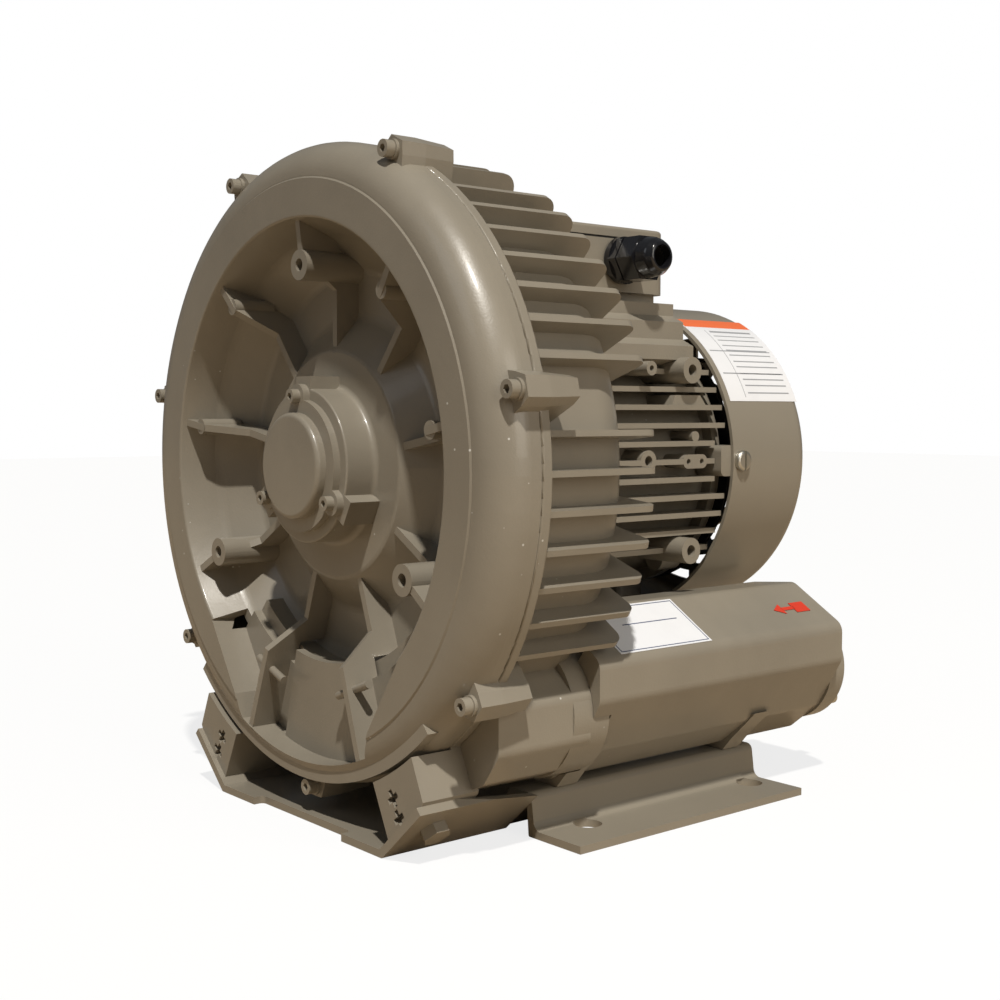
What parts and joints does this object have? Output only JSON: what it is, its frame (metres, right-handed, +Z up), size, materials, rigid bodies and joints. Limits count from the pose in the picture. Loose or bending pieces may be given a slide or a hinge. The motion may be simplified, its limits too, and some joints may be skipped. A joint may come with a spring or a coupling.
{
  "type": "side channel blower",
  "caption": "Side channel blower with ribbed front cover, finned casing, finned motor with terminal box, silencers under both ports and a pressed base plate.",
  "frame": {"origin": "on the floor, at the centre of the four foot holes", "axes": "+Z up; the open ribbed cover faces -Y and the motor and both ports face +Y; the cable gland is on +X"},
  "size_m": [0.3492, 0.3117, 0.3585],
  "materials": {
    "cast_paint": "satin",
    "sheet_paint": "satin",
    "zinc_steel": "satin",
    "bearing_steel": "gloss",
    "machined_steel": "satin",
    "raw_aluminium": "satin",
    "core_steel": "satin",
    "enamel_copper": "gloss",
    "black_plastic": "matte",
    "stud_brass": "satin",
    "black_rubber": "matte",
    "gland_black": "gloss",
    "foam": "matte"
  },
  "bodies": {
    "housing": {"base_plate": "sheet_paint", "bearing_cap": "cast_paint", "bearing_cap_screws": "cast_paint", "box_gasket": "black_rubber", "box_lid": "cast_paint", "box_lid_screws": "cast_paint", "box_screws": "zinc_steel", "casing_screws": "cast_paint", "end_shield": "cast_paint", "end_shield_screws": "zinc_steel", "fan_cover": "sheet_paint", "fan_cover_screws": "zinc_steel", "front_bearing_outer_ring": "bearing_steel", "front_cover": "cast_paint", "gland_body": "gland_black", "gland_locknut": "gland_black", "gland_nut": "gland_black", "gland_seal": "black_rubber", "gland_washer": "black_rubber", "inlet_core_tube": "raw_aluminium", "inlet_foam_sleeve": "foam", "inlet_port_flange": "cast_paint", "inlet_silencer": "cast_paint", "leg_bolts": "cast_paint", "motor_flange_screws": "zinc_steel", "motor_frame": "cast_paint", "outlet_core_tube": "raw_aluminium", "outlet_foam_sleeve": "foam", "outlet_port_flange": "cast_paint", "outlet_silencer": "cast_paint", "port_flange_screws": "zinc_steel", "rear_bearing_outer_ring": "bearing_steel", "rear_casing": "cast_paint", "shaft_seal": "black_rubber", "silencer_bolts": "zinc_steel", "silencer_foot_screws": "cast_paint", "silencer_gaskets": "black_rubber", "stator_core": "core_steel", "stator_windings": "enamel_copper", "terminal_block": "black_plastic", "terminal_box": "cast_paint", "terminal_studs": "stud_brass", "wave_spring": "bearing_steel"},
    "rotor": {"rotor_shaft": "machined_steel", "impeller": "raw_aluminium", "impeller_key": "machined_steel", "impeller_washer": "machined_steel", "impeller_nut": "machined_steel", "front_bearing_inner_ring": "bearing_steel", "rear_bearing_inner_ring": "bearing_steel", "rotor_core": "core_steel", "rotor_cage_rings": "raw_aluminium", "cooling_fan": "black_plastic", "fan_clip": "machined_steel"},
    "front_balls": {"front_bearing_balls": "bearing_steel"},
    "rear_balls": {"rear_bearing_balls": "bearing_steel"}
  },
  "joints": [
    {"name": "rotor_spin", "type": "hinge", "parent": "housing", "child": "rotor", "pos_m": [0, -0.111, 0.19], "axis": [0, 1, 0], "continuous": true},
    {"name": "front_balls_spin", "type": "hinge", "parent": "housing", "child": "front_balls", "pos_m": [0, -0.1585, 0.19], "axis": [0, 1, 0], "continuous": true},
    {"name": "rear_balls_spin", "type": "hinge", "parent": "housing", "child": "rear_balls", "pos_m": [0, 0.0605, 0.19], "axis": [0, 1, 0], "continuous": true}
  ],
  "couplings": [
    {"joint": "front_balls_spin", "follows": "rotor_spin", "ratio": 0.3987},
    {"joint": "rear_balls_spin", "follows": "rotor_spin", "ratio": 0.3987}
  ]
}
